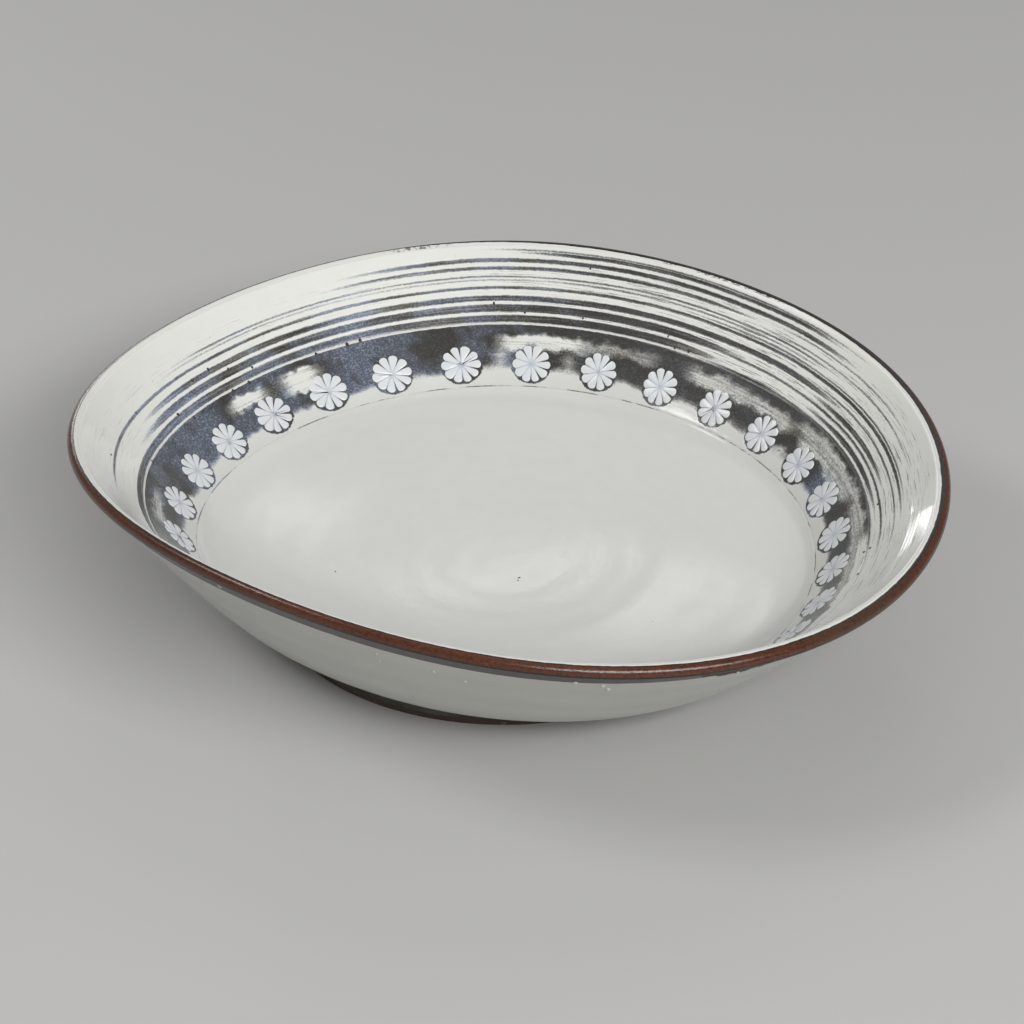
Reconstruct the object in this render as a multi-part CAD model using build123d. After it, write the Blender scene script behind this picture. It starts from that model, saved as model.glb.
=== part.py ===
from build123d import *
from math import asin, atan2, cos, hypot, pi, sin, sqrt, tan
import os

# A thrown stoneware dish, pulled out of round while it was soft.
# Millimetres. The origin is the centre of the foot's resting plane, Z is up,
# X runs along the long axis and Y along the short one.

# Lip
rim_radius = 83.0
rim_height = 37.2
lip_width = 2.8
lip_proud = 0.25
# The iron lip meets the wall on a slant between these two edges, in turns about the lip's centre
lip_inner_edge = 0.43
lip_outer_edge = -0.11

# Warp: the ends stretch and sink, the sides draw in and rise
rim_stretch = 5.9
rim_squareness = 0.6
rim_sag = 3.5
rim_ripple = 0.3
still_radius = 30.0
warp_growth = 1.4

# Floor and the circle scratched around it
circle_radius = 60.0
circle_height = 14.0
circle_width = 0.6
floor_sink = 6.0
floor_upturn = 4.7
knuckle_offset = 0.6
knuckle_softness = 1.0

# Thicknesses
wall_thickness = 3.3
floor_thickness = 3.0
glaze_thickness = 0.5

# Underside and foot
base_upturn = 0.8
heel_softness = 2.8
foot_radius = 46.0
foot_width = 5.0
foot_taper = 0.8
foot_bare_height = 1.6

# Dark band with its stamped and inlaid flowers
band_width = 9.1
stamp_count = 29
stamp_width = 8.6
stamp_gap = 0.9
stamp_depth = 0.6
stamp_clearance = 0.1
petal_count = 10
petal_notch = 0.55
first_stamp_angle = 12.3
stamp_drift = 4.6
stamp_second_drift = 3.1

# Construction: reach of the cutting shapes past the clay, and how finely curves are sampled
cut_margin = 3.0
centre_radius = 8.0
profile_rings = 15
ring_points = 8
lip_sections = 16

lip_radius = lip_width / 2
lip_centre = (rim_radius - lip_radius, rim_height - lip_radius)
wall_root = (circle_radius + knuckle_offset, circle_height)
cut_height = rim_height + rim_sag + 2 * cut_margin


def wall_line(root_offset, lip_offset):
    """Slope and height at zero radius of the line this far outside the wall's root and the lip's centre."""
    run = lip_centre[0] - wall_root[0]
    rise = lip_centre[1] - wall_root[1]
    angle = atan2(rise, run) + asin((root_offset - lip_offset) / hypot(run, rise))
    slope = tan(angle)
    height = wall_root[1] - root_offset / cos(angle) - slope * wall_root[0]
    return slope, height


inside_wall = wall_line(0, lip_proud - lip_radius)
outside_wall = wall_line(wall_thickness, lip_radius - lip_proud)


def soft_corner(low, steep, softness):
    """Follow whichever height is greater, rounding the corner between the two."""
    return (low + steep + sqrt((low - steep) ** 2 + 4 * softness**2)) / 2


def inside_height(radius):
    """Height of the finished inner face above the table."""
    floor = circle_height - floor_sink + floor_upturn * (radius / circle_radius) ** 2
    wall = inside_wall[0] * radius + inside_wall[1]
    return soft_corner(floor, wall, knuckle_softness)


def outside_height(radius):
    """Height of the finished outer face above the table."""
    base = circle_height - floor_sink - floor_thickness + base_upturn * (radius / foot_radius) ** 2
    wall = outside_wall[0] * radius + outside_wall[1]
    return soft_corner(base, wall, heel_softness)


def moved_out(profile, radius, distance):
    """Point this far outside and below the profile, square to it."""
    step = 0.01
    slope = (profile(radius + step) - profile(radius - step)) / (2 * step)
    length = hypot(1, slope)
    return radius + distance * slope / length, profile(radius) - distance / length


def warp_weight(radius):
    reach = max(radius - still_radius, 0) / (rim_radius - still_radius)
    return reach**warp_growth


def warped(radius, height, turn, level=False):
    """Point of the round dish after the warp. A level one keeps its height."""
    weight = warp_weight(radius)
    out = radius + weight * (rim_stretch * cos(2 * turn) - rim_squareness * cos(4 * turn))
    sag = weight * (rim_sag * cos(2 * turn) + rim_ripple * cos(4 * turn))
    return Vector(out * cos(turn), out * sin(turn), height if level else height - sag)


def turns(count):
    return [2 * pi * step / count for step in range(count)]


def warped_ring(radius, height, level=False):
    """Closed curve around the dish."""
    points = [warped(radius, height, turn, level) for turn in turns(ring_points)]
    return Wire([Edge.make_spline(points, periodic=True)])


def even_points(profile, distance):
    """Points at even steps along the moved profile, from the centre to past the rim."""
    samples = 40 * profile_rings
    pitch = (rim_radius + cut_margin - centre_radius) / samples
    fine = [moved_out(profile, centre_radius + pitch * step, distance) for step in range(samples + 1)]
    lengths = [0]
    for here, there in zip(fine, fine[1:]):
        lengths.append(lengths[-1] + hypot(there[0] - here[0], there[1] - here[1]))
    stops = [lengths[-1] * step / (profile_rings - 1) for step in range(profile_rings)]
    return [min(zip(lengths, fine), key=lambda pair: abs(pair[0] - stop))[1] for stop in stops]


def bowl_shape(profile, wall, distance, top):
    """Solid bounded by the profile moved out by the distance, and by a level top above the rim."""
    rings = [warped_ring(*point) for point in even_points(profile, distance)]
    rings.append(warped_ring((top - wall[1]) / wall[0] + distance, top, level=True))
    return Solid.make_loft(rings)


def cavity(distance):
    return bowl_shape(inside_height, inside_wall, distance, cut_height + 2 * cut_margin - distance)


def envelope(distance):
    return bowl_shape(outside_height, outside_wall, -distance, cut_height + distance)


def inside_circle(radius):
    """Upright prism of everything within a warped circle of this mean radius."""
    outline = Face(warped_ring(radius, -cut_margin, level=True))
    return extrude(outline, cut_height + 3 * cut_margin, dir=(0, 0, 1))


def swept_round(section):
    """Solid ring through the section drawn at each turn around the dish."""
    wires = [section(turn) for turn in turns(lip_sections)]
    return Solid.make_loft(wires + wires[:1])


def lip_point(angle_turns, distance):
    angle = 2 * pi * angle_turns
    return lip_centre[0] + distance * cos(angle), lip_centre[1] + distance * sin(angle)


def above_lip_line():
    inner = lip_point(lip_inner_edge, lip_radius)
    outer = lip_point(lip_outer_edge, lip_radius)
    across = (outer[0] - inner[0], outer[1] - inner[1])
    start = (inner[0] - across[0], inner[1] - across[1])
    end = (outer[0] + across[0], outer[1] + across[1])
    top = cut_height + 5 * cut_margin
    past_wall = (top + rim_sag - outside_wall[1]) / outside_wall[0] + 4 * cut_margin
    corners = [start, end, (past_wall, top), (start[0], top)]

    def section(turn):
        return Wire.make_polygon([warped(*corner, turn) for corner in corners], close=True)

    return swept_round(section)


def lip_bead():
    def section(turn):
        points = [warped(*lip_point(part / 8, lip_radius), turn) for part in range(8)]
        return Wire([Edge.make_spline(points, periodic=True)])

    return swept_round(section)


def turned(points):
    """Solid of revolution about Z."""
    return revolve(Plane.XZ * make_face(Polyline(*points, close=True)), Axis.Z)


foot_top = outside_height(foot_radius) + floor_thickness / 2
foot_top_radius = foot_radius + foot_taper
foot_inner_radius = foot_radius - foot_width


def foot_slope(height):
    return foot_radius + foot_taper * height / foot_top


def foot_clay():
    outer = [(foot_radius, 0), (foot_top_radius, foot_top)]
    return turned([(foot_inner_radius, 0)] + outer + [(foot_inner_radius, foot_top)])


def foot_sleeve():
    bare = foot_slope(foot_bare_height)
    inner = [(bare, foot_bare_height), (foot_top_radius, foot_top)]
    outer = [(radius + glaze_thickness, height) for radius, height in reversed(inner)]
    return turned(inner + outer)


def foot_block():
    """Everything inside the foot's glazed outer face."""
    low = foot_radius + glaze_thickness
    high = foot_top_radius + glaze_thickness
    return turned([(0, 0), (low, 0), (high, foot_top), (0, foot_top)])


def well_block():
    return turned([(0, 0), (foot_inner_radius, 0), (foot_inner_radius, foot_top), (0, foot_top)])


def stamp_outline():
    """Flower outline with one round end for each petal."""
    tip = stamp_width / 2
    notch = tip - petal_notch
    petals = []
    for petal in range(petal_count):
        ends = [2 * pi * (petal + part) / petal_count for part in (0, 0.5, 1)]
        points = [(size * cos(angle), size * sin(angle)) for size, angle in zip((notch, tip, notch), ends)]
        petals.append(Edge.make_three_point_arc(*points))
    return Face(Wire(petals))


def stamp_angle(index):
    """Turn of a stamp in radians. The potter's step is a little uneven."""
    even = 2 * pi * index / stamp_count
    drift = stamp_drift * sin(even) + stamp_second_drift * sin(2 * even)
    return even + (first_stamp_angle - drift) * pi / 180


def stamp_plane(turn):
    """Plane on the inner face, square to it, with its X axis pointing up the wall."""
    up_from_circle = stamp_width / 2 + stamp_clearance + stamp_gap
    radius = circle_radius + circle_width / 2 + up_from_circle / hypot(1, inside_wall[0])
    step = 0.1
    here, around, above = [
        warped(size, inside_height(size), angle)
        for size, angle in ((radius, turn), (radius, turn + step / radius), (radius + step, turn))
    ]
    up_wall = above - here
    return Plane(origin=here, x_dir=up_wall, z_dir=up_wall.cross(around - here))


def flower(turn):
    """White clay filling one stamp, level with the face around it."""
    return stamp_plane(turn) * extrude(stamp_outline(), -(glaze_thickness + stamp_depth))


def stamp_pocket(turn):
    """Flat-bottomed round hollow that one flower sits in, open towards the inside of the dish."""
    low = -(glaze_thickness + stamp_depth)
    outline = Circle(stamp_width / 2 + stamp_clearance)
    return stamp_plane(turn) * Pos(0, 0, low) * extrude(outline, cut_margin - low)


def build_dish():
    """All pieces by name."""
    cavity_in_clay = cavity(glaze_thickness)
    clay_envelope = envelope(glaze_thickness)
    inner_skin = cavity_in_clay - cavity(0)
    outer_skin = envelope(0) - clay_envelope
    lip_zone = above_lip_line()
    within_floor = inside_circle(circle_radius - circle_width / 2)
    within_circle = inside_circle(circle_radius + circle_width / 2)
    within_band = inside_circle(circle_radius + circle_width / 2 + band_width)
    stamps = [stamp_angle(index) for index in range(stamp_count)]
    pockets = [stamp_pocket(turn) for turn in stamps]

    pieces = {
        "clay_bowl": clay_envelope - cavity_in_clay - lip_zone - pockets,
        "foot_ring": foot_clay() - clay_envelope,
        "iron_lip": lip_bead() & lip_zone,
        "floor_slip": inner_skin & within_floor,
        "dark_band": (inner_skin & within_band) - within_circle - pockets,
        "brushed_slip": inner_skin - within_band - lip_zone,
        "outer_glaze": outer_skin - foot_block() - lip_zone,
        "foot_glaze": foot_sleeve() - clay_envelope,
        "foot_well_glaze": outer_skin & well_block(),
    }
    for index, turn in enumerate(stamps):
        pieces[f"stamped_flower_{index + 1:02d}"] = flower(turn)
    return pieces


def write_pieces():
    os.makedirs("parts", exist_ok=True)
    for name, piece in build_dish().items():
        export_step(piece, f"parts/{name}.step")


write_pieces()
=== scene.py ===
import bpy
import bmesh
import random
from math import asin, atan2, cos, exp, floor, hypot, pi, radians, sin, sqrt, tan
from mathutils import Matrix, Quaternion, Vector, noise


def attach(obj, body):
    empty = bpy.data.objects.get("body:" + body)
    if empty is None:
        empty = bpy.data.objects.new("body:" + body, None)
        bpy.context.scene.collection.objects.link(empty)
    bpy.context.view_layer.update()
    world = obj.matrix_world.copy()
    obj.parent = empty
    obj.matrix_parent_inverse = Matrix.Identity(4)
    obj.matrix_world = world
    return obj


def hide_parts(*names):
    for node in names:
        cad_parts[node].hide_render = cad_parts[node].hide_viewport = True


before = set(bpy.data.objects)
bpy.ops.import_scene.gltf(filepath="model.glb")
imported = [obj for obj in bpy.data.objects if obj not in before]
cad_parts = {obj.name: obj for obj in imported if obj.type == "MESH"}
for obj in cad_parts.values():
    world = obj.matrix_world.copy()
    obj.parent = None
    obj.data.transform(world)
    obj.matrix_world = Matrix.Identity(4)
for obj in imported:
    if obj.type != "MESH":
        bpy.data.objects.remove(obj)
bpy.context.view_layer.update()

# Mukozuke dish: dark stoneware pulled out of round, white slip, stamped flowers, iron lip.
# Lengths in the dictionaries are millimetres, and only the finished vertices are metres.

dish = {
    "rimRadius": 83.0, "rimHeight": 37.2, "lipWidth": 2.8, "lipProud": 0.25,
    "rimStretch": 5.9, "rimSquareness": 0.6, "rimSag": 3.5, "rimRipple": 0.3,
    "stillRadius": 30.0, "warpGrowth": 1.4,
    "circleRadius": 60.0, "circleHeight": 14.0, "floorSink": 6.0, "floorUpturn": 4.7,
    "knuckleOffset": 0.6, "knuckleSoftness": 1.0,
    "wallThickness": 3.3, "floorThickness": 3.0, "glazeThickness": 0.5,
    "baseUpturn": 0.8, "heelSoftness": 2.8,
    "footRadius": 46.0, "footWidth": 5.0, "footTaper": 0.8, "footBareHeight": 1.6,
    "bandEdge": 69.4,
    "segments": 480,
}

lipRadius = dish["lipWidth"] / 2
lipCentre = (dish["rimRadius"] - lipRadius, dish["rimHeight"] - lipRadius)
wallRoot = (dish["circleRadius"] + dish["knuckleOffset"], dish["circleHeight"])


def wallLine(rootOffset, lipOffset):  # slope and height at the axis, as in the solids
    run = lipCentre[0] - wallRoot[0]
    rise = lipCentre[1] - wallRoot[1]
    angle = atan2(rise, run) + asin((rootOffset - lipOffset) / hypot(run, rise))
    slope = tan(angle)
    return slope, wallRoot[1] - rootOffset / cos(angle) - slope * wallRoot[0]


insideWall = wallLine(0, dish["lipProud"] - lipRadius)
outsideWall = wallLine(dish["wallThickness"], lipRadius - dish["lipProud"])


def softCorner(low, steep, softness):
    return (low + steep + sqrt((low - steep) ** 2 + 4 * softness ** 2)) / 2


def insideHeight(radius):
    low = dish["circleHeight"] - dish["floorSink"] + dish["floorUpturn"] * (radius / dish["circleRadius"]) ** 2
    return softCorner(low, insideWall[0] * radius + insideWall[1], dish["knuckleSoftness"])


def outsideHeight(radius):
    low = dish["circleHeight"] - dish["floorSink"] - dish["floorThickness"]
    low += dish["baseUpturn"] * (radius / dish["footRadius"]) ** 2
    return softCorner(low, outsideWall[0] * radius + outsideWall[1], dish["heelSoftness"])


def warped(radius, height, turn):  # place in metres of a point of the round dish
    weight = (max(radius - dish["stillRadius"], 0) / (dish["rimRadius"] - dish["stillRadius"])) ** dish["warpGrowth"]
    out = radius + weight * (dish["rimStretch"] * cos(2 * turn) - dish["rimSquareness"] * cos(4 * turn))
    sag = weight * (dish["rimSag"] * cos(2 * turn) + dish["rimRipple"] * cos(4 * turn))
    return Vector((out * cos(turn), out * sin(turn), height - sag)) / 1000


# ---- the potter's hand, as small moves of the surface

hand = {
    "ringPitch": 7.5, "ringDepth": 0.006, "groovePitch": 2.05,
    "grooveDepth": 0.12, "grooveWidth": 0.22,
    "outsidePitch": 6.2, "outsideDepth": 0.11, "lipEase": 77.5,
}
lipTouch = lipCentre[0] - lipRadius * insideWall[0] / hypot(1, insideWall[0])  # where the wall runs onto the lip


def handNoise(radius, turn, size, seed):
    place = Vector((radius * cos(turn) / size, radius * sin(turn) / size, seed))
    return noise.noise(place)


def insidePoint(radius, turn):
    fade = min(radius / 8, 1) * max(0, min(1, (57 - radius) / 6))
    swirl = sin(2 * pi * radius / hand["ringPitch"] - turn + 1.5 * handNoise(radius, turn, 60, 3))
    height = insideHeight(radius) + hand["ringDepth"] * fade * swirl
    groove = exp(-((radius - dish["circleRadius"]) / hand["grooveWidth"]) ** 2)
    faint = 0.55 + 0.45 * handNoise(30, turn, 14, 9)
    height -= hand["grooveDepth"] * groove * faint
    height += 0.06 * handNoise(radius, turn, 22, 1)
    ease = max(0, min(1, (radius - hand["lipEase"]) / (lipTouch - hand["lipEase"])))
    height += dish["lipProud"] * hypot(1, insideWall[0]) * ease * ease * (3 - 2 * ease)
    return warped(radius, height, turn)


def outsidePoint(radius, turn):
    fade = max(0, min(1, (radius - 50) / 6)) * max(0, min(1, (81 - radius) / 4))
    swirl = sin(2 * pi * radius / hand["outsidePitch"] + turn + 2 * handNoise(radius, turn, 50, 5))
    height = outsideHeight(radius) - hand["outsideDepth"] * fade * (1 + swirl) / 2
    return warped(radius, height, turn)


def lipPoint(angle, turn):
    return warped(lipCentre[0] + lipRadius * cos(angle), lipCentre[1] + lipRadius * sin(angle), turn)


# ---- stamped flowers

stamp = {
    "count": 29, "width": 8.6, "gap": 0.9, "clearance": 0.1, "petals": 10, "notch": 0.55,
    "firstAngle": 12.3, "drift": 4.6, "secondDrift": 3.1, "circleWidth": 0.6,
    "slit": 0.24, "proud": 0.07, "sink": 0.25, "lowered": 0.35,
}


def stampAngle(index):
    even = 2 * pi * index / stamp["count"]
    drift = stamp["drift"] * sin(even) + stamp["secondDrift"] * sin(2 * even)
    return even + radians(stamp["firstAngle"] - drift)


upFromCircle = stamp["width"] / 2 + stamp["clearance"] + stamp["gap"]
stampRadius = dish["circleRadius"] + stamp["circleWidth"] / 2 + upFromCircle / hypot(1, insideWall[0]) - stamp["lowered"]


stampAngles = [stampAngle(index) for index in range(stamp["count"])]


def nearestStamp(radius, turn):  # distance in millimetres over the wall to the nearest stamp's centre
    if abs(radius - stampRadius) > 9:
        return 9.0
    apart = min(abs((turn - angle + pi) % (2 * pi) - pi) for angle in stampAngles)
    return min(9.0, hypot(apart * stampRadius, (radius - stampRadius) * hypot(1, insideWall[0])))


# ---- meshes

def ringSheet(name, stops, cuts, place, run, segments=None):
    # a flat sheet of rings about Z, subdivided between the stops, then every vertex set in its place
    segments = segments or dish["segments"]
    mesh = bpy.data.meshes.new(name)
    build = bmesh.new()
    chain = [build.verts.new((stop, 0, 0)) for stop in stops]
    for start, end in zip(chain, chain[1:]):
        build.edges.new((start, end))
    for start, end, count in zip(stops, stops[1:], cuts):
        middle = (start + end) / 2
        span = [item for item in build.edges if min(v.co.x for v in item.verts) < middle < max(v.co.x for v in item.verts)]
        bmesh.ops.subdivide_edges(build, edges=span, cuts=count)
    bmesh.ops.spin(build, geom=build.verts[:] + build.edges[:], cent=(0, 0, 0), axis=(0, 0, 1),
                   angle=2 * pi, steps=segments, use_merge=True, use_duplicate=False)
    bmesh.ops.remove_doubles(build, verts=build.verts, dist=1e-4)
    potMap = build.verts.layers.float_vector.new("potMap")
    stampAway = build.verts.layers.float.new("stampAway")
    for vert in build.verts:
        radius = hypot(vert.co.x, vert.co.y)
        turn = atan2(vert.co.y, vert.co.x)
        vert[potMap] = run(radius, turn)
        vert[stampAway] = nearestStamp(radius, turn)
        vert.co = place(radius, turn)
    bmesh.ops.recalc_face_normals(build, faces=build.faces)
    for face in build.faces:
        face.smooth = True
    build.to_mesh(mesh)
    build.free()
    piece = bpy.data.objects.new(name, mesh)
    bpy.context.scene.collection.objects.link(piece)
    return piece


def thicken(piece, thickness):
    shell = piece.modifiers.new("thickness", "SOLIDIFY")
    shell.thickness = thickness / 1000
    shell.offset = -1
    shell.use_even_offset = True
    return piece


def facing(piece, upward):
    # turn the sheet so that its faces look up (or down) before it gets its thickness
    total = sum((face.normal.z * face.area for face in piece.data.polygons))
    if (total > 0) != upward:
        piece.data.flip_normals()
    return piece


def mapInside(radius, turn):
    run = -(lipCentre[0] - radius) * hypot(1, insideWall[0])
    return Vector((radius * cos(turn), radius * sin(turn), run))


def mapOutside(radius, turn):
    run = (lipCentre[0] - radius) * hypot(1, outsideWall[0])
    return Vector((radius * cos(turn), radius * sin(turn), run))


def finish(piece, slotName, *nodes):
    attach(piece, "root")
    if nodes:
        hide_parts(*nodes)
    return piece


edge = dish["circleRadius"]
bandEdge = dish["bandEdge"]
wallTop = lipTouch + 0.12

floorSlip = ringSheet("floorSlip", [0, 56, 59.2, edge], [44, 5, 7], insidePoint, mapInside)
facing(floorSlip, True)
thicken(floorSlip, dish["glazeThickness"])
finish(floorSlip, "milky_glaze", "floor_slip")
print("floor slip made")

darkBand = ringSheet("darkBand", [edge, edge + 0.8, bandEdge], [7, 20], insidePoint, mapInside)
facing(darkBand, True)
thicken(darkBand, dish["glazeThickness"])
finish(darkBand, "dark_glaze", "dark_band")
print("dark band made")

brushedSlip = ringSheet("brushedSlip", [bandEdge, wallTop], [30], insidePoint, mapInside)
facing(brushedSlip, True)
thicken(brushedSlip, dish["glazeThickness"])
finish(brushedSlip, "brushed_slip", "brushed_slip")
print("brushed slip made")

outerTop = lipCentre[0] + lipRadius * cos(2 * pi * 0.11) - 0.3
outerFoot = dish["footRadius"] + dish["footTaper"] - 0.2
outerGlaze = ringSheet("outerGlaze", [outerFoot, outerTop], [60], outsidePoint, mapOutside)
facing(outerGlaze, False)
thicken(outerGlaze, dish["glazeThickness"])
finish(outerGlaze, "milky_glaze", "outer_glaze")
print("outer glaze made")

lip = {"sides": 24, "flatten": 1.0}


def ironLipMesh():
    mesh = bpy.data.meshes.new("ironLip")
    build = bmesh.new()
    bmesh.ops.create_circle(build, segments=lip["sides"], radius=lipRadius)
    # stand the circle up at the lip and spin it round the dish
    bmesh.ops.rotate(build, verts=build.verts, cent=(0, 0, 0), matrix=Matrix.Rotation(pi / 2, 3, "X"))
    bmesh.ops.translate(build, verts=build.verts, vec=(lipCentre[0], 0, lipCentre[1]))
    bmesh.ops.spin(build, geom=build.verts[:] + build.edges[:], cent=(0, 0, 0), axis=(0, 0, 1),
                   angle=2 * pi, steps=dish["segments"], use_merge=True, use_duplicate=False)
    bmesh.ops.remove_doubles(build, verts=build.verts, dist=1e-4)
    potMap = build.verts.layers.float_vector.new("potMap")
    for vert in build.verts:
        radius = hypot(vert.co.x, vert.co.y)
        turn = atan2(vert.co.y, vert.co.x)
        angle = atan2(vert.co.z - lipCentre[1], radius - lipCentre[0])
        vert[potMap] = Vector((radius * cos(turn), radius * sin(turn), lipRadius * (pi / 2 - angle)))
        vert.co = warped(radius, vert.co.z, turn)
    bmesh.ops.recalc_face_normals(build, faces=build.faces)
    for face in build.faces:
        face.smooth = True
    build.to_mesh(mesh)
    build.free()
    piece = bpy.data.objects.new("ironLip", mesh)
    bpy.context.scene.collection.objects.link(piece)
    return piece


ironLip = finish(ironLipMesh(), "iron_glaze", "iron_lip")
print("iron lip made")

def onWall(up, along, above, turn):
    # up the wall, along the row and above the glaze, all in millimetres from the stamp's centre
    radius = stampRadius + up / hypot(1, insideWall[0])
    angle = turn + along / stampRadius
    here = insidePoint(radius, angle)
    step = 0.2
    upWall = insidePoint(radius + step, angle) - here
    around = insidePoint(radius, angle + step / radius) - here
    normal = upWall.cross(around)
    if normal.z < 0:
        normal.negate()
    return here + normal.normalized() * above / 1000


def flowerMesh(index):
    # petals joined at the eye and parted by slits that widen outwards, raised a hair above the glaze
    chance = random.Random(100 + index)
    tip = stamp["width"] / 2
    count = stamp["petals"]
    build = bmesh.new()
    eye = build.verts.new((0, 0, 0))
    slits = []
    for number in range(count):
        angle = 2 * pi * number / count + chance.uniform(-0.04, 0.04)
        open_ = chance.choice((0.8, 1, 1.15)) if sin(angle) < 0.1 or cos(angle) > 0.75 else chance.choice((0.12, 0.25, 0.4))
        depth = tip * (0.62 - 0.26 * open_ + chance.uniform(-0.05, 0.05))
        half = stamp["slit"] * open_ * chance.uniform(0.7, 1.15)
        bottom = build.verts.new((depth * cos(angle), depth * sin(angle), 0))
        slits.append((angle, depth, half, bottom))
    for number in range(count):
        start, startDepth, startHalf, startVert = slits[number]
        end, endDepth, endHalf, endVert = slits[(number + 1) % count]
        if end < start:
            end += 2 * pi
        reach = tip * chance.uniform(0.965, 1.0)
        chain = [startVert]
        for share in (0.45, 0.8):
            away = startDepth + (reach * 0.9 - startDepth) * share
            turn = start + startHalf * share / away
            chain.append(build.verts.new((away * cos(turn), away * sin(turn), 0)))
        for part, away in ((0.13, 0.90), (0.26, 0.965), (0.5, 1.0), (0.74, 0.965), (0.87, 0.90)):
            turn = start + (end - start) * part
            chain.append(build.verts.new((reach * away * cos(turn), reach * away * sin(turn), 0)))
        for share in (0.8, 0.45):
            away = endDepth + (reach * 0.9 - endDepth) * share
            turn = end - endHalf * share / away
            chain.append(build.verts.new((away * cos(turn), away * sin(turn), 0)))
        build.faces.new([eye] + chain + [endVert])
    raised = bmesh.ops.extrude_face_region(build, geom=build.faces[:])["geom"]
    bmesh.ops.translate(build, verts=[item for item in raised if isinstance(item, bmesh.types.BMVert)],
                        vec=(0, 0, stamp["proud"] + stamp["sink"]))
    tops = [item for item in raised if isinstance(item, bmesh.types.BMFace)]
    rim = [item for item in build.edges if len([face for face in item.link_faces if face in tops]) == 1
           and min(vert.co.z for vert in item.verts) > 0.01]
    bmesh.ops.bevel(build, geom=rim, offset=0.09, offset_type="OFFSET", affect="EDGES",
                    segments=2, profile=0.5, material=-1, clamp_overlap=True)
    petals = [face for face in build.faces if len(face.verts) > 8 and face.calc_center_median().z > stamp["sink"]]
    bmesh.ops.inset_individual(build, faces=petals, thickness=0.22, depth=0.05, use_even_offset=True)
    potMap = build.verts.layers.float_vector.new("potMap")
    turn = stampAngle(index)
    for vert in build.verts:
        up, along, above = vert.co.x, vert.co.y, vert.co.z - stamp["sink"]
        vert[potMap] = Vector((up, along, index))
        vert.co = onWall(up, along, above, turn)
    bmesh.ops.recalc_face_normals(build, faces=build.faces)
    for face in build.faces:
        face.smooth = True
    name = f"stampedFlower{index + 1:02d}"
    mesh = bpy.data.meshes.new(name)
    build.to_mesh(mesh)
    build.free()
    mesh.set_sharp_from_angle(angle=radians(40))
    piece = bpy.data.objects.new(name, mesh)
    bpy.context.scene.collection.objects.link(piece)
    return piece


flowers = []
for index in range(stamp["count"]):
    flower = flowerMesh(index)
    finish(flower, "inlay_white", f"stamped_flower_{index + 1:02d}")
    flowers.append(flower)
print("flowers made")


# Grit and pinholes that fired through the glaze: radius of the pot, turn in degrees, size
grit = {
    "inside": [
        (75.3, 214, 0.25), (74.8, 199, 0.3), (70.7, 191.5, 0.4), (69.3, 206, 0.4), (69.0, 189, 0.45), (73.2, 184, 0.4),
        (73.4, 180, 0.4), (69.1, 178.4, 0.45), (72.1, 176.7, 0.35), (69.1, 174.7, 0.45), (70.8, 172.6, 0.35),
        (69.2, 160.8, 0.45), (69.3, 155, 0.5), (69.4, 152.6, 0.5), (72.3, 129, 0.4), (71.0, 123.6, 0.3),
        (70.9, 113, 0.3), (78.2, 113, 0.3), (70.9, 96, 0.3), (69.8, 91, 0.5), (69.6, 94, 0.35), (78.5, 71, 0.35),
        (7.5, 330, 0.3), (8.4, 326, 0.2), (34, 229, 0.22), (71.0, 32, 0.4), (69.9, 21.5, 0.35), (68.9, 21.5, 0.35), (69.3, 15, 0.35), (73.0, 300, 0.4), (70.5, 268, 0.4),
    ],
    "outside": [
        (81.0, 264.1, 0.6), (77.8, 289.4, 0.65), (75.9, 289.4, 0.4), (76.8, 297.5, 0.65), (75.4, 301.8, 0.6), (79.6, 316.1, 0.65),
        (78.7, 319.7, 0.55), (77.4, 320.6, 0.65), (79.3, 337.1, 0.4), (74.0, 20, 0.4), (76.5, 48, 0.4), (71.0, 95, 0.4),
        (75.0, 130, 0.45), (78.0, 166, 0.4), (73.5, 205, 0.4), (68.0, 238, 0.35),
    ],
    "insideHeight": 0.16, "outsideHeight": 0.30,
}


def gritMesh(name, spots, height, onSurface):
    # one small dome for each spot, set into the glaze
    build = bmesh.new()
    for number, (radius, degreesRound, size) in enumerate(spots):
        chance = random.Random(number)
        dome = bmesh.ops.create_icosphere(build, subdivisions=2, radius=size)["verts"]
        bmesh.ops.scale(build, verts=dome, vec=(1, chance.uniform(0.6, 0.9), height / size))
        turn = radians(degreesRound)
        for vert in dome:
            up, along, above = vert.co
            vert.co = onSurface(radius, turn, up, along, above)
    bmesh.ops.recalc_face_normals(build, faces=build.faces)
    for face in build.faces:
        face.smooth = True
    mesh = bpy.data.meshes.new(name)
    build.to_mesh(mesh)
    build.free()
    piece = bpy.data.objects.new(name, mesh)
    bpy.context.scene.collection.objects.link(piece)
    return piece


def surfaceSpot(point, slope, radius, turn, up, along, above):
    here = radius + up / hypot(1, slope)
    angle = turn + along / radius
    base = point(here, angle)
    across = (point(here + 0.2, angle) - base).cross(point(here, angle + 0.2 / here) - base).normalized()
    if (across.z < 0) != (point is outsidePoint):
        across.negate()
    return base + across * above / 1000


insideGrit = gritMesh("insideGrit", grit["inside"], grit["insideHeight"], lambda *spot: surfaceSpot(insidePoint, insideWall[0], *spot))
finish(insideGrit, "dark_clay")
outsideGrit = gritMesh("outsideGrit", grit["outside"], grit["outsideHeight"], lambda *spot: surfaceSpot(outsidePoint, outsideWall[0], *spot))
finish(outsideGrit, "milky_glaze")
print("grit made")

# Finishes. Node helpers first, then the groups, then one material for each coat.

def feed(tree, slot, value):
    if isinstance(value, bpy.types.NodeSocket):
        tree.links.new(value, slot)
    elif isinstance(value, (tuple, Vector)) and slot.type == "RGBA" and len(value) == 3:
        slot.default_value = (*value, 1)
    else:
        slot.default_value = value


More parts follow.
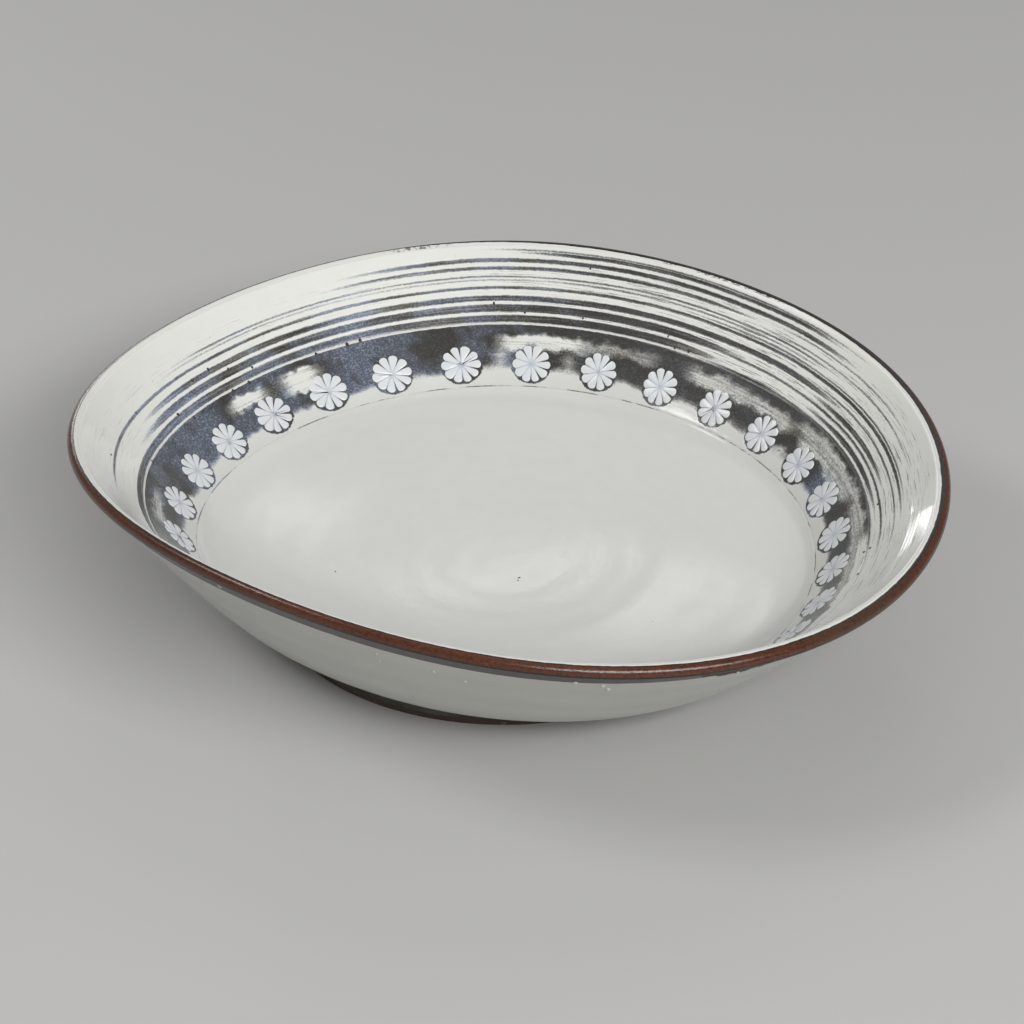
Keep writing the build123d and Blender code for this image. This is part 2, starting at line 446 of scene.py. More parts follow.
def calc(tree, operation, *values, clamp=False):
    node = tree.nodes.new("ShaderNodeMath")
    node.operation = operation
    node.use_clamp = clamp
    for slot, value in zip(node.inputs, values):
        feed(tree, slot, value)
    return node.outputs[0]


def vectorCalc(tree, operation, *values):
    node = tree.nodes.new("ShaderNodeVectorMath")
    node.operation = operation
    slots = node.inputs
    if operation == "SCALE":
        slots = (node.inputs["Vector"], node.inputs["Scale"])
    for slot, value in zip(slots, values):
        feed(tree, slot, value)
    return node.outputs["Value" if operation in ("DOT_PRODUCT", "LENGTH") else "Vector"]


def step(tree, value, low, high):  # smooth rise from 0 at low to 1 at high
    node = tree.nodes.new("ShaderNodeMapRange")
    node.interpolation_type = "SMOOTHSTEP"
    feed(tree, node.inputs["Value"], value)
    feed(tree, node.inputs["From Min"], low)
    feed(tree, node.inputs["From Max"], high)
    return node.outputs["Result"]


def grain(tree, vector, scale, detail=2.0, roughness=0.5, distortion=0.0):
    node = tree.nodes.new("ShaderNodeTexNoise")
    feed(tree, node.inputs["Vector"], vector)
    for name, value in (("Scale", scale), ("Detail", detail), ("Roughness", roughness), ("Distortion", distortion)):
        feed(tree, node.inputs[name], value)
    return node.outputs["Fac"]


def mixColour(tree, share, first, second):
    node = tree.nodes.new("ShaderNodeMix")
    node.data_type = "RGBA"
    feed(tree, node.inputs["Factor"], share)
    feed(tree, node.inputs["A"] if False else node.inputs[6], first)
    feed(tree, node.inputs[7], second)
    return node.outputs[2]


def mixValue(tree, share, first, second):
    node = tree.nodes.new("ShaderNodeMix")
    feed(tree, node.inputs[0], share)
    feed(tree, node.inputs[2], first)
    feed(tree, node.inputs[3], second)
    return node.outputs[0]


def combine(tree, x, y, z):
    node = tree.nodes.new("ShaderNodeCombineXYZ")
    for slot, value in zip(node.inputs, (x, y, z)):
        feed(tree, slot, value)
    return node.outputs[0]


socketKinds = {"value": "NodeSocketFloat", "vector": "NodeSocketVector", "colour": "NodeSocketColor"}


def newGroup(name, takes, gives):
    tree = bpy.data.node_groups.new(name, "ShaderNodeTree")
    for label, kind in takes:
        tree.interface.new_socket(label, in_out="INPUT", socket_type=socketKinds[kind])
    for label, kind in gives:
        tree.interface.new_socket(label, in_out="OUTPUT", socket_type=socketKinds[kind])
    return tree, tree.nodes.new("NodeGroupInput").outputs, tree.nodes.new("NodeGroupOutput").inputs


def place(tree, group, **values):
    node = tree.nodes.new("ShaderNodeGroup")
    node.node_tree = group
    for name, value in values.items():
        feed(tree, node.inputs[name.replace("_", " ")], value)
    return node.outputs


def attribute(tree, name, output):
    node = tree.nodes.new("ShaderNodeAttribute")
    node.attribute_name = name
    return node.outputs[output]


def potPlaceGroup():
    # where a point was on the round pot, before it was pulled out of round
    tree, takes, gives = newGroup("potPlace", [], [("Place", "vector"), ("Around", "vector"), ("Radius", "value"), ("Run", "value")])
    spot = attribute(tree, "potMap", "Vector")
    flat = vectorCalc(tree, "MULTIPLY", spot, (1, 1, 0))
    split = tree.nodes.new("ShaderNodeSeparateXYZ")
    feed(tree, split.inputs[0], spot)
    feed(tree, gives["Place"], spot)
    feed(tree, gives["Around"], vectorCalc(tree, "NORMALIZE", flat))
    feed(tree, gives["Radius"], vectorCalc(tree, "LENGTH", flat))
    feed(tree, gives["Run"], split.outputs["Z"])
    return tree


def turnWindowGroup():
    # 1 between two turns around the pot, with soft ends
    tree, takes, gives = newGroup("turnWindow", [("Around", "vector"), ("Middle", "vector"), ("Reach", "value"), ("Soft", "value")], [("Mask", "value")])
    along = calc(tree, "ARCCOSINE", calc(tree, "MINIMUM", vectorCalc(tree, "DOT_PRODUCT", takes["Around"], takes["Middle"]), 0.99999))
    outer = calc(tree, "ADD", takes["Reach"], takes["Soft"])
    inner = calc(tree, "SUBTRACT", takes["Reach"], takes["Soft"])
    feed(tree, gives["Mask"], step(tree, along, outer, inner))
    return tree


def bristleGroup():
    # fine streaks that run around the pot, as a dry brush leaves them
    tree, takes, gives = newGroup("bristle", [("Around", "vector"), ("Radius", "value"), ("Fineness", "value"), ("Length", "value")], [("Streak", "value")])
    around = vectorCalc(tree, "SCALE", takes["Around"], takes["Length"])
    split = tree.nodes.new("ShaderNodeSeparateXYZ")
    feed(tree, split.inputs[0], around)
    spot = combine(tree, split.outputs["X"], split.outputs["Y"], calc(tree, "MULTIPLY", takes["Radius"], takes["Fineness"]))
    feed(tree, gives["Streak"], grain(tree, spot, 1.0, 3.0, 0.6))
    return tree


def ringGapGroup(turnWindow):
    # a gap in the brushed slip: a dark line at one radius over part of the turn
    tree, takes, gives = newGroup("ringGap", [("Around", "vector"), ("Radius", "value"), ("Streak", "value"), ("Line", "value"),
                                              ("Half Width", "value"), ("Strength", "value"), ("Middle", "vector"), ("Reach", "value"), ("Soft", "value")],
                                  [("Mask", "value")])
    away = calc(tree, "ABSOLUTE", calc(tree, "SUBTRACT", takes["Radius"], takes["Line"]))
    window = place(tree, turnWindow, Around=takes["Around"], Middle=takes["Middle"], Reach=takes["Reach"], Soft=takes["Soft"])["Mask"]
    width = calc(tree, "MULTIPLY", takes["Half Width"], calc(tree, "MULTIPLY_ADD", window, 0.6, 0.4))
    edge = step(tree, away, calc(tree, "ADD", width, 0.17), calc(tree, "SUBTRACT", width, 0.13))
    broken = calc(tree, "MULTIPLY_ADD", takes["Streak"], 1.7, 0.12)
    mask = calc(tree, "MULTIPLY", calc(tree, "MULTIPLY", edge, window), calc(tree, "MULTIPLY", broken, takes["Strength"]))
    feed(tree, gives["Mask"], mask)
    return tree


def pinDotsGroup():
    # small round dots scattered over a surface
    tree, takes, gives = newGroup("pinDots", [("Place", "vector"), ("Per mm", "value"), ("Size", "value"), ("Share", "value")], [("Mask", "value")])
    cells = tree.nodes.new("ShaderNodeTexVoronoi")
    cells.feature = "F1"
    feed(tree, cells.inputs["Vector"], takes["Place"])
    feed(tree, cells.inputs["Scale"], takes["Per mm"])
    dot = step(tree, cells.outputs["Distance"], takes["Size"], calc(tree, "MULTIPLY", takes["Size"], 0.4))
    split = tree.nodes.new("ShaderNodeSeparateColor")
    feed(tree, split.inputs[0], cells.outputs["Color"])
    chosen = calc(tree, "LESS_THAN", split.outputs["Red"], takes["Share"])
    feed(tree, gives["Mask"], calc(tree, "MULTIPLY", dot, chosen))
    return tree


def glazeSkinGroup():
    # faint orange peel and slow thickness changes of a fired glaze
    tree, takes, gives = newGroup("glazeSkin", [("Place", "vector"), ("Roughness", "value"), ("Unevenness", "value")], [("Roughness", "value"), ("Height", "value"), ("Tone", "value")])
    slow = grain(tree, takes["Place"], 0.09, 3.0, 0.55)
    fine = grain(tree, takes["Place"], 0.9, 2.0, 0.5)
    feed(tree, gives["Tone"], slow)
    feed(tree, gives["Roughness"], calc(tree, "MULTIPLY_ADD", calc(tree, "SUBTRACT", fine, 0.5), takes["Unevenness"], takes["Roughness"]))
    peel = grain(tree, takes["Place"], 2.4, 1.0, 0.5)
    feed(tree, gives["Height"], calc(tree, "MULTIPLY_ADD", peel, 0.05, calc(tree, "MULTIPLY_ADD", slow, 0.7, calc(tree, "MULTIPLY", fine, 0.12))))
    return tree


potPlace = potPlaceGroup()
turnWindow = turnWindowGroup()
bristle = bristleGroup()
ringGap = ringGapGroup(turnWindow)
pinDots = pinDotsGroup()
glazeSkin = glazeSkinGroup()


def turnVector(degreesRound):
    return Vector((cos(radians(degreesRound)), sin(radians(degreesRound)), 0))


# Dark gaps in the brushed slip: radius, half width, strength, first and last turn in degrees
slipGaps = [
    (70.08, 0.50, 1.0, 88, 232), (71.62, 0.52, 1.0, 84, 200), (73.05, 0.38, 0.95, 60, 196),
    (74.60, 0.20, 0.85, 28, 222), (75.70, 0.12, 0.50, 70, 190), (76.22, 0.13, 0.65, 62, 186),
    (77.45, 0.24, 0.80, 84, 153), (78.55, 0.26, 0.85, 62, 150), (79.55, 0.22, 0.85, 66, 122),
    (79.95, 0.12, 0.60, 60, 130), (81.35, 0.25, 0.80, 78, 101), (70.30, 0.30, 0.85, 34, 60),
    (71.30, 0.16, 0.75, 20, 86), (72.15, 0.30, 0.85, 38, 60), (69.35, 0.22, 0.80, 22, 86),
    (73.55, 0.13, 0.60, 22, 64), (75.10, 0.12, 0.60, 30, 92), (76.80, 0.11, 0.50, 36, 80),
    (77.90, 0.10, 0.45, 40, 78), (68.75, 0.14, 0.70, 60, 92), (81.45, 0.20, 0.85, 136, 144),
    (70.20, 0.45, 0.90, 240, 352), (71.80, 0.40, 0.90, 250, 345), (73.30, 0.30, 0.85, 262, 350),
    (74.70, 0.18, 0.75, 236, 356), (76.10, 0.16, 0.65, 270, 340), (77.60, 0.20, 0.65, 285, 330),
]
# Slip swept over the dark band: radius, half height, strength, first and last turn
slipSweeps = [
    (66.9, 1.1, 1.0, 172.5, 181.5), (66.5, 1.7, 1.0, 161.5, 169.5), (66.7, 1.1, 0.95, 112, 128.5), (67.0, 1.0, 0.7, 212, 224),
    (66.9, 0.9, 0.6, 96, 113), (66.8, 1.1, 0.75, 62, 90), (66.3, 0.6, 0.8, 38, 60), (66.5, 0.6, 0.7, 8, 36),
    (63.4, 1.6, 0.85, 113.2, 115.6), (63.4, 2.2, 0.9, 126.4, 129.4), (63.2, 0.4, 0.8, 59.5, 64),
    (66.6, 0.8, 0.8, 250, 285), (66.9, 0.9, 0.7, 310, 340), (68.4, 1.2, 0.95, -14, 27), (67.9, 0.9, 0.75, 27, 62),
]


def windowed(tree, around, first, last, soft=0.05):
    middle = (first + last) / 2
    reach = radians((last - first) / 2)
    return {"Around": around, "Middle": turnVector(middle), "Reach": reach, "Soft": soft}


def innerCoatGroup():
    # colour of the whole inside: white slip, the dark clay that shows through it, and the milky blue between
    tree, takes, gives = newGroup("innerCoat", [], [("Colour", "colour"), ("Dark", "value"), ("Roughness", "value"), ("Height", "value")])
    spot = place(tree, potPlace)
    around, radius, where = spot["Around"], spot["Radius"], spot["Place"]
    stampAway = attribute(tree, "stampAway", "Fac")

    wander = calc(tree, "MULTIPLY_ADD", grain(tree, around, 1.3, 2.0), 0.8, -0.4)
    tremble = calc(tree, "MULTIPLY_ADD", grain(tree, where, 0.8, 2.0), 0.16, -0.08)
    lineRadius = calc(tree, "ADD", radius, calc(tree, "ADD", wander, tremble))
    streak = place(tree, bristle, Around=around, Radius=lineRadius, Fineness=3.2, Length=5.0)["Streak"]
    fineStreak = place(tree, bristle, Around=around, Radius=lineRadius, Fineness=7.5, Length=9.0)["Streak"]
    blotch = grain(tree, where, 0.22, 3.0, 0.6)
    cloud = grain(tree, where, 0.55, 3.0, 0.6)
    dust = grain(tree, where, 2.2, 4.0, 0.8)

    # the dark band, with slip creeping up between the stamps and a dark ring round each stamp, partly the dark clay in
    # the gap round the stamp and partly painted shade of the groove there
    creep = calc(tree, "MULTIPLY_ADD", grain(tree, where, 0.12, 3.0, 0.6), 3.0, 60.9)
    bandLow = step(tree, radius, calc(tree, "SUBTRACT", creep, 0.8), calc(tree, "ADD", creep, 1.1))
    bandHigh = step(tree, lineRadius, 69.30, 69.10)
    # painted shade: a dark ring round each stamp for the shade in the groove round it, partly dark clay
    stampRingClayAndShade = calc(tree, "MULTIPLY", step(tree, calc(tree, "MULTIPLY_ADD", calc(tree, "SUBTRACT", cloud, 0.5), 1.0, stampAway), 4.75, 4.35), 0.85)
    band = calc(tree, "MULTIPLY", calc(tree, "MAXIMUM", bandLow, stampRingClayAndShade), bandHigh)
    uneven = calc(tree, "MULTIPLY_ADD", calc(tree, "SUBTRACT", cloud, 0.5), 1.2, calc(tree, "MULTIPLY_ADD", calc(tree, "SUBTRACT", blotch, 0.5), 3.0, radius))
    for line, half, strength, first, last in slipSweeps:
        window = place(tree, turnWindow, **windowed(tree, around, first, last, 0.055))["Mask"]
        away = calc(tree, "ABSOLUTE", calc(tree, "SUBTRACT", uneven, line))
        body = step(tree, away, half + 0.75, max(half - 0.6, 0.02))
        wisps = calc(tree, "MULTIPLY_ADD", streak, 0.9, 0.5)
        cover = calc(tree, "MULTIPLY", calc(tree, "MULTIPLY", window, body), calc(tree, "MULTIPLY", wisps, strength), clamp=True)
        band = calc(tree, "MULTIPLY", band, calc(tree, "SUBTRACT", 1.0, cover))

    gaps = 0.0
    for line, half, strength, first, last in slipGaps:
        node = tree.nodes.new("ShaderNodeGroup")
        node.node_tree = ringGap
        for name, value in {**windowed(tree, around, first, last, 0.16), "Radius": lineRadius, "Streak": streak, "Line": line,
                            "Half Width": half, "Strength": strength}.items():
            feed(tree, node.inputs[name], value)
        gaps = calc(tree, "MAXIMUM", gaps, node.outputs["Mask"])
    leftSide = step(tree, vectorCalc(tree, "DOT_PRODUCT", around, turnVector(172)), 0.35, 0.85)
    dark = calc(tree, "MAXIMUM", band, calc(tree, "MULTIPLY", gaps, calc(tree, "MULTIPLY_ADD", leftSide, -0.30, 1.0)))

    # fine bristle lines over the whole brushed wall
    brushed = calc(tree, "MULTIPLY", step(tree, radius, 69.0, 70.0), step(tree, radius, 81.0, 77.0))
    rightSide = step(tree, vectorCalc(tree, "DOT_PRODUCT", around, turnVector(60)), 0.2, 0.9)
    hair = calc(tree, "MULTIPLY", step(tree, fineStreak, 0.52, 0.70), calc(tree, "MULTIPLY", brushed, calc(tree, "MULTIPLY_ADD", rightSide, 0.40, 0.24)))
    dark = calc(tree, "MAXIMUM", dark, hair)

    # scratched circle, broken where glaze has filled it
    circleAway = calc(tree, "ABSOLUTE", calc(tree, "SUBTRACT", calc(tree, "ADD", radius, calc(tree, "MULTIPLY", tremble, 0.8)), 60.0))
    circle = calc(tree, "MULTIPLY", step(tree, circleAway, 0.16, 0.05), step(tree, grain(tree, where, 0.16, 4.0, 0.6), 0.42, 0.60))
    dark = calc(tree, "MAXIMUM", dark, calc(tree, "MULTIPLY", circle, 0.45))

    # the thin milky glaze breaks the dark into specks
    flecks = calc(tree, "MULTIPLY", calc(tree, "SUBTRACT", dust, 0.5), 0.9)
    ragged = calc(tree, "MULTIPLY", flecks, step(tree, dark, 0.0, 0.3))
    dark = calc(tree, "SUBTRACT", dark, ragged, clamp=True)

    slow = step(tree, grain(tree, where, 0.13, 2.0), 0.38, 0.62)
    blueness = calc(tree, "MULTIPLY", calc(tree, "MULTIPLY_ADD", leftSide, 0.62, 0.12), slow)
    for first, last, top in ((148.5, 159, 90), (184, 203, 90), (41, 50, 66)):
        window = place(tree, turnWindow, **windowed(tree, around, first, last, 0.05))["Mask"]
        window = calc(tree, "MULTIPLY", window, step(tree, radius, top + 1.5, top - 1.5))
        blueness = calc(tree, "MAXIMUM", blueness, calc(tree, "MULTIPLY", window, step(tree, blotch, 0.30, 0.50)))
    smoky = mixColour(tree, blueness, (0.235, 0.23, 0.21), (0.30, 0.345, 0.42))
    deep = mixColour(tree, blueness, (0.047, 0.045, 0.041), (0.098, 0.112, 0.142))
    sparks = calc(tree, "MULTIPLY", step(tree, dust, 0.47, 0.70), calc(tree, "MULTIPLY_ADD", blueness, 0.65, 0.30))
    deep = mixColour(tree, sparks, deep, mixColour(tree, blueness, (0.19, 0.187, 0.175), (0.37, 0.42, 0.52)))
    # painted light: the same white slip is set darker on the floor and lighter up the wall, for the wall catching more
    # light than the floor
    floorShadedWhite = mixColour(tree, blotch, (0.645, 0.65, 0.615), (0.69, 0.69, 0.655))
    wallLitWhite = mixColour(tree, blotch, (0.80, 0.805, 0.76), (0.855, 0.85, 0.80))
    white = mixColour(tree, step(tree, radius, 58.5, 70.0), floorShadedWhite, wallLitWhite)
    half = mixColour(tree, step(tree, dark, 0.05, 0.5), white, smoky)
    colour = mixColour(tree, step(tree, dark, 0.35, 0.85), half, deep)
    specks = place(tree, pinDots, Place=where, Per_mm=0.16, Size=0.045, Share=0.10)["Mask"]
    colour = mixColour(tree, calc(tree, "MULTIPLY", specks, 0.6), colour, (0.12, 0.11, 0.08))
    feed(tree, gives["Colour"], colour)
    feed(tree, gives["Dark"], dark)
    skin = place(tree, glazeSkin, Place=where, Roughness=0.12, Unevenness=0.05)
    feed(tree, gives["Roughness"], skin["Roughness"])
    # the right end of the wall lies a little flatter under the lip
    flat = place(tree, turnWindow, **windowed(tree, around, -26, 25, 0.06))["Mask"]
    eased = calc(tree, "MULTIPLY", calc(tree, "MINIMUM", calc(tree, "MAXIMUM", calc(tree, "SUBTRACT", radius, 76.4), 0.0), 3.8), -2.5)
    height = calc(tree, "SUBTRACT", skin["Height"], calc(tree, "MULTIPLY", dark, 0.35))
    feed(tree, gives["Height"], calc(tree, "MULTIPLY_ADD", eased, flat, height))
    return tree


innerCoat = innerCoatGroup()


def newMaterial(name):
    material = bpy.data.materials.new(name)
    material.use_nodes = True
    return material, material.node_tree, material.node_tree.nodes["Principled BSDF"].inputs


def bump(tree, height, strength, distance):
    node = tree.nodes.new("ShaderNodeBump")
    node.inputs["Strength"].default_value = strength
    node.inputs["Distance"].default_value = distance / 1000
    feed(tree, node.inputs["Height"], height)
    return node.outputs["Normal"]


def innerMaterial(name, relief):
    material, tree, shader = newMaterial(name)
    coat = place(tree, innerCoat)
    feed(tree, shader["Base Color"], coat["Colour"])
    feed(tree, shader["Roughness"], coat["Roughness"])
    feed(tree, shader["Normal"], bump(tree, coat["Height"], 1.0, relief))
    shader["IOR"].default_value = 1.5
    return material


milkyGlaze = innerMaterial("milkyGlaze", 0.05)
darkGlaze = innerMaterial("darkGlaze", 0.12)
brushedGlaze = innerMaterial("brushedGlaze", 0.14)


def outsideMaterial():
    # thinner milky glaze straight on the clay: greyer than the inside, running thin at the ripples
    material, tree, shader = newMaterial("outsideGlaze")
    spot = place(tree, potPlace)
    skin = place(tree, glazeSkin, Place=spot["Place"], Roughness=0.24, Unevenness=0.12)
    streak = place(tree, bristle, Around=spot["Around"], Radius=spot["Radius"], Fineness=0.8, Length=2.5)["Streak"]
    tone = calc(tree, "MULTIPLY_ADD", skin["Tone"], 0.6, calc(tree, "MULTIPLY", streak, 0.4))
    colour = mixColour(tree, tone, (0.46, 0.47, 0.425), (0.56, 0.565, 0.525))
    dots = place(tree, pinDots, Place=spot["Place"], Per_mm=0.2, Size=0.05, Share=0.12)["Mask"]
    colour = mixColour(tree, calc(tree, "MULTIPLY", dots, 0.6), colour, (0.10, 0.085, 0.06))
    edge = grain(tree, spot["Place"], 0.35, 3.0)
    bleed = step(tree, calc(tree, "MULTIPLY_ADD", edge, 0.25, spot["Run"]), 3.26, 2.92)
    colour = mixColour(tree, bleed, colour, (0.03, 0.016, 0.010))
    feed(tree, shader["Base Color"], colour)
    feed(tree, shader["Roughness"], skin["Roughness"])
    feed(tree, shader["Normal"], bump(tree, skin["Height"], 1.0, 0.14))
    shader["IOR"].default_value = 1.5
    return material


def ironMaterial():
    # iron brown on the lip: nearly black at both edges, rusty in the middle
    material, tree, shader = newMaterial("ironGlaze")
    spot = place(tree, potPlace)
    run = spot["Run"]
    around = spot["Around"]
    where = spot["Place"]
    mottle = grain(tree, where, 1.7, 4.0, 0.65)
    slow = grain(tree, around, 2.2, 3.0)
    fine = grain(tree, where, 4.5, 2.0)
    middle = calc(tree, "MULTIPLY", step(tree, run, 0.02, 0.55), step(tree, run, 2.95, 2.35))
    rust = step(tree, calc(tree, "ADD", calc(tree, "MULTIPLY", middle, 0.85), calc(tree, "MULTIPLY_ADD", mottle, 0.9, calc(tree, "MULTIPLY", slow, 0.3))), 1.05, 1.65)
    colour = mixColour(tree, rust, (0.009, 0.006, 0.0045), (0.108, 0.032, 0.014))
    colour = mixColour(tree, calc(tree, "MULTIPLY", step(tree, fine, 0.58, 0.72), rust), colour, (0.17, 0.065, 0.03))
    olive = place(tree, turnWindow, **windowed(tree, around, -14, 2, 0.08))["Mask"]
    olive = calc(tree, "MULTIPLY", olive, step(tree, fine, 0.40, 0.62))
    colour = mixColour(tree, calc(tree, "MULTIPLY", olive, 0.8), colour, (0.050, 0.046, 0.028))
    ragged = calc(tree, "MULTIPLY_ADD", grain(tree, where, 0.5, 3.0), 0.30, -0.15)
    backRight = step(tree, vectorCalc(tree, "DOT_PRODUCT", around, turnVector(70)), 0.1, 0.8)
    left = step(tree, vectorCalc(tree, "DOT_PRODUCT", around, turnVector(185)), 0.3, 0.9)
    right = step(tree, vectorCalc(tree, "DOT_PRODUCT", around, turnVector(-30)), 0.0, 0.8)
    innerEdge = calc(tree, "MULTIPLY_ADD", backRight, -0.45, calc(tree, "MULTIPLY_ADD", left, 0.20, calc(tree, "MULTIPLY_ADD", right, 0.28, -0.10)))
    inside = step(tree, calc(tree, "ADD", run, ragged), calc(tree, "ADD", innerEdge, 0.06), calc(tree, "SUBTRACT", innerEdge, 0.08))
    for first, last in ((136, 144), (78, 101)):
        smudge = place(tree, turnWindow, **windowed(tree, around, first, last, 0.04))["Mask"]
        patchy = step(tree, grain(tree, where, 0.7, 3.0, 0.6), 0.46, 0.62)
        inside = calc(tree, "SUBTRACT", inside, calc(tree, "MULTIPLY", smudge, calc(tree, "MULTIPLY", patchy, 0.75)), clamp=True)
    colour = mixColour(tree, inside, colour, (0.79, 0.79, 0.745))
    feed(tree, shader["Base Color"], colour)
    feed(tree, shader["Roughness"], mixValue(tree, inside, calc(tree, "MULTIPLY_ADD", mottle, 0.25, 0.08), 0.12))
    feed(tree, shader["Normal"], bump(tree, calc(tree, "MULTIPLY", mottle, mixValue(tree, inside, 1.0, 0.1)), 1.0, 0.05))
    shader["IOR"].default_value = 1.5
    return material


def inlayMaterial():
    # white inlaid clay, faintly blue where the glaze lies thicker in the creases
    material, tree, shader = newMaterial("inlayWhite")
    split = tree.nodes.new("ShaderNodeSeparateXYZ")
    local = attribute(tree, "potMap", "Vector")
    feed(tree, split.inputs[0], local)
    up, along = split.outputs["X"], split.outputs["Y"]
    away = calc(tree, "POWER", calc(tree, "ADD", calc(tree, "MULTIPLY", up, up), calc(tree, "MULTIPLY", along, along)), 0.5)
    angle = calc(tree, "ARCTAN2", along, up)
    crease = calc(tree, "MULTIPLY", calc(tree, "ABSOLUTE", calc(tree, "SINE", calc(tree, "MULTIPLY", angle, 5.0))), calc(tree, "DIVIDE", away, 5.0))
    creased = step(tree, crease, 0.22, 0.02)
    cloud = grain(tree, local, 0.6, 2.0)
    white = mixColour(tree, cloud, (0.69, 0.725, 0.765), (0.79, 0.79, 0.765))
    colour = mixColour(tree, calc(tree, "MULTIPLY", creased, calc(tree, "MULTIPLY_ADD", cloud, 0.9, 0.05)), white, (0.34, 0.40, 0.50))
    feed(tree, shader["Base Color"], colour)
    feed(tree, shader["Roughness"], calc(tree, "MULTIPLY_ADD", cloud, 0.12, 0.18))
    feed(tree, shader["Normal"], bump(tree, grain(tree, local, 1.5, 2.0), 1.0, 0.05))
    shader["IOR"].default_value = 1.5
    return material


def gritMaterial(name, low, high):
    material, tree, shader = newMaterial(name)
    coords = tree.nodes.new("ShaderNodeTexCoord").outputs["Object"]
    patch = grain(tree, coords, 2500, 2.0)
    feed(tree, shader["Base Color"], mixColour(tree, step(tree, patch, 0.45, 0.7), low, high))
    feed(tree, shader["Roughness"], calc(tree, "MULTIPLY_ADD", patch, 0.2, 0.06))
    return material


def clayMaterial():
    # bare fired clay: dark purple brown with iron specks and fine grit
    material, tree, shader = newMaterial("darkClay")
    coords = tree.nodes.new("ShaderNodeTexCoord").outputs["Object"]
    grit = grain(tree, coords, 1400, 3.0, 0.6)
    patch = grain(tree, coords, 90, 3.0)
    colour = mixColour(tree, patch, (0.036, 0.024, 0.021), (0.095, 0.055, 0.040))
    colour = mixColour(tree, step(tree, grit, 0.58, 0.72), colour, (0.20, 0.15, 0.11))
    feed(tree, shader["Base Color"], colour)
    feed(tree, shader["Roughness"], calc(tree, "MULTIPLY_ADD", grit, 0.3, 0.55))
    feed(tree, shader["Normal"], bump(tree, grit, 0.8, 0.12))
    return material


def thinGlazeMaterial():
    # glaze wiped thin on the foot: olive grey, patchy, over the dark clay
    material, tree, shader = newMaterial("thinGlaze")
    coords = tree.nodes.new("ShaderNodeTexCoord").outputs["Object"]
    patch = grain(tree, coords, 120, 4.0, 0.6)
    fine = grain(tree, coords, 700, 3.0)
    colour = mixColour(tree, step(tree, patch, 0.35, 0.65), (0.030, 0.028, 0.021), (0.085, 0.083, 0.065))
    colour = mixColour(tree, step(tree, fine, 0.6, 0.75), colour, (0.030, 0.022, 0.018))
    feed(tree, shader["Base Color"], colour)
    feed(tree, shader["Roughness"], calc(tree, "MULTIPLY_ADD", patch, 0.3, 0.25))
    feed(tree, shader["Normal"], bump(tree, calc(tree, "ADD", patch, calc(tree, "MULTIPLY", fine, 0.3)), 0.8, 0.12))
    return material


def wear(piece, material):
    piece.data.materials.clear()
    piece.data.materials.append(material)


wear(floorSlip, milkyGlaze)
wear(darkBand, darkGlaze)
wear(brushedSlip, brushedGlaze)
wear(outerGlaze, outsideMaterial())
wear(ironLip, ironMaterial())
wear(insideGrit, gritMaterial("gritBrown", (0.030, 0.017, 0.012), (0.16, 0.10, 0.07)))
wear(outsideGrit, gritMaterial("gritWhite", (0.50, 0.51, 0.47), (0.60, 0.60, 0.56)))
inlayWhite = inlayMaterial()
for flower in flowers:
    wear(flower, inlayWhite)
darkClay = clayMaterial()
for nodeName in ("clay_bowl", "foot_ring"):
    wear(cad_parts[nodeName], darkClay)
thinGlaze = thinGlazeMaterial()
for nodeName in ("foot_glaze", "foot_well_glaze"):
    wear(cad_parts[nodeName], thinGlaze)
print("finishes made")

# ---- floor, lights and camera

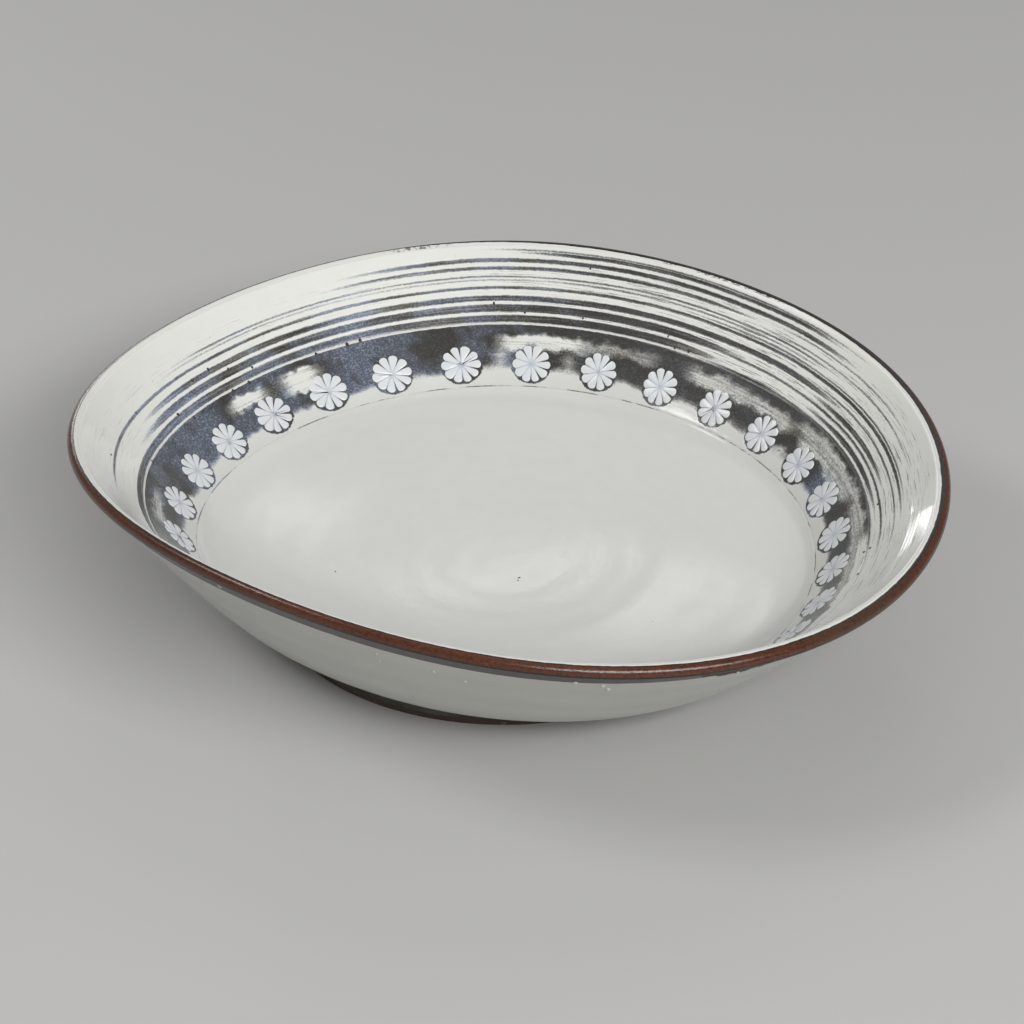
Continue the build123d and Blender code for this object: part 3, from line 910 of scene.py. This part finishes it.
ground = bpy.data.meshes.new("ground")
build = bmesh.new()
bmesh.ops.create_grid(build, x_segments=1, y_segments=1, size=3)
build.to_mesh(ground)
build.free()
floorPlane = bpy.data.objects.new("floorPlane", ground)
bpy.context.scene.collection.objects.link(floorPlane)
material, tree, shader = newMaterial("paleFloor")
feed(tree, shader["Base Color"], mixColour(tree, grain(tree, tree.nodes.new("ShaderNodeTexCoord").outputs["Object"], 3.0), (0.52, 0.515, 0.505), (0.56, 0.555, 0.545)))
shader["Roughness"].default_value = 0.55
wear(floorPlane, material)

camera = {"place": (0.3408, -0.4478, 0.3589), "look": (-0.5166, 0.6826, -0.5170), "lens": 3334.7 / 1024 * 36}
cameraData = bpy.data.cameras.new("camera")
cameraData.lens = camera["lens"]
cameraData.sensor_width = 36
cameraObject = bpy.data.objects.new("camera", cameraData)
cameraObject.location = camera["place"]
cameraObject.rotation_euler = Vector(camera["look"]).to_track_quat("-Z", "Y").to_euler()
bpy.context.scene.collection.objects.link(cameraObject)
bpy.context.scene.camera = cameraObject


def softbox(name, place, target, size, power, roll=0):
    data = bpy.data.lights.new(name, "AREA")
    data.shape = "RECTANGLE"
    data.size, data.size_y = size
    data.energy = power
    lamp = bpy.data.objects.new(name, data)
    lamp.location = place
    aim = (Vector(target) - Vector(place)).to_track_quat("-Z", "Y")
    lamp.rotation_euler = (aim @ Quaternion((0, 0, 1), radians(roll))).to_euler()
    bpy.context.scene.collection.objects.link(lamp)


softbox("windowLight", (-0.50, 0.90, 0.92), (0, 0, 0), (1.1, 0.7), 1.3)
softbox("topLight", (0.05, -0.15, 1.4), (0, 0, 0), (1.0, 1.0), 1.0)
softbox("fillLight", (1.04, -0.46, 0.82), (0, 0, 0), (1.1, 0.36), 14.8)
softbox("leftLight", (-0.85, -0.60, 1.05), (0, 0, 0), (0.55, 0.30), 4.6)
softbox("sideWindow", (-2.47, 1.60, 0.57), (0.05, 0, 0.03), (0.60, 0.40), 5.0)
softbox("glint", (-1.56, 2.03, 1.55), (0.038, 0.012, 0.01), (0.26, 0.03), 0.11, 72)

world = bpy.data.worlds.new("studio")
world.use_nodes = True
world.node_tree.nodes["Background"].inputs["Color"].default_value = (0.9, 0.9, 0.92, 1)
world.node_tree.nodes["Background"].inputs["Strength"].default_value = 0.24
bpy.context.scene.world = world
bpy.context.scene.view_settings.view_transform = "Standard"
print("floor, lights and camera set")
